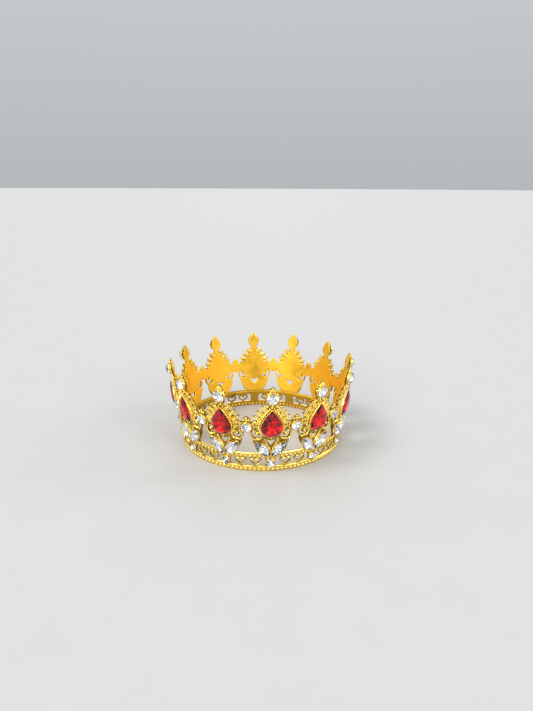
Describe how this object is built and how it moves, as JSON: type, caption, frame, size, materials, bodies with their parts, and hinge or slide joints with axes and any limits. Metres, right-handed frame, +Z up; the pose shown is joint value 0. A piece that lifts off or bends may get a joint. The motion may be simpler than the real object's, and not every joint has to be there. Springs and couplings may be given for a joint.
{
  "type": "crown",
  "caption": "Small openwork gold crown: leaning, leaf-edged points on a pierced and beaded band, set with red pear-shaped stones and clear stones.",
  "frame": {"origin": "centre of the circle that the band stands on, on the resting plane", "axes": "+Z up along the crown's axis, -Y towards the first point, +X to the wearer's left when that point is at the front"},
  "size_m": [0.1022, 0.1022, 0.0456],
  "materials": {
    "gold": "bright yellow gold plating on a cast zinc alloy, shiny on the relief and satin on the plain inner side",
    "red_stone": "deep red faceted glass with a silver foil back",
    "clear_stone": "colourless faceted glass with a silver foil back"
  },
  "bodies": {
    "root": {"fret_band": "gold", "point_01": "gold", "point_02": "gold", "point_03": "gold", "point_04": "gold", "point_05": "gold", "point_06": "gold", "point_07": "gold", "point_08": "gold", "point_09": "gold", "point_10": "gold", "point_11": "gold", "point_12": "gold", "bridge_01": "gold", "bridge_02": "gold", "bridge_03": "gold", "bridge_04": "gold", "bridge_05": "gold", "bridge_06": "gold", "bridge_07": "gold", "bridge_08": "gold", "bridge_09": "gold", "bridge_10": "gold", "bridge_11": "gold", "bridge_12": "gold", "pear_stone_01": "red_stone", "pear_stone_02": "red_stone", "pear_stone_03": "red_stone", "pear_stone_04": "red_stone", "pear_stone_05": "red_stone", "pear_stone_06": "red_stone", "pear_stone_07": "red_stone", "pear_stone_08": "red_stone", "pear_stone_09": "red_stone", "pear_stone_10": "red_stone", "pear_stone_11": "red_stone", "pear_stone_12": "red_stone", "navette_pair_01": "clear_stone", "navette_pair_02": "clear_stone", "navette_pair_03": "clear_stone", "navette_pair_04": "clear_stone", "navette_pair_05": "clear_stone", "navette_pair_06": "clear_stone", "navette_pair_07": "clear_stone", "navette_pair_08": "clear_stone", "navette_pair_09": "clear_stone", "navette_pair_10": "clear_stone", "navette_pair_11": "clear_stone", "navette_pair_12": "clear_stone", "crest_stones": "clear_stone", "bridge_stones": "clear_stone", "band_stones": "clear_stone"}
  },
  "joints": []
}
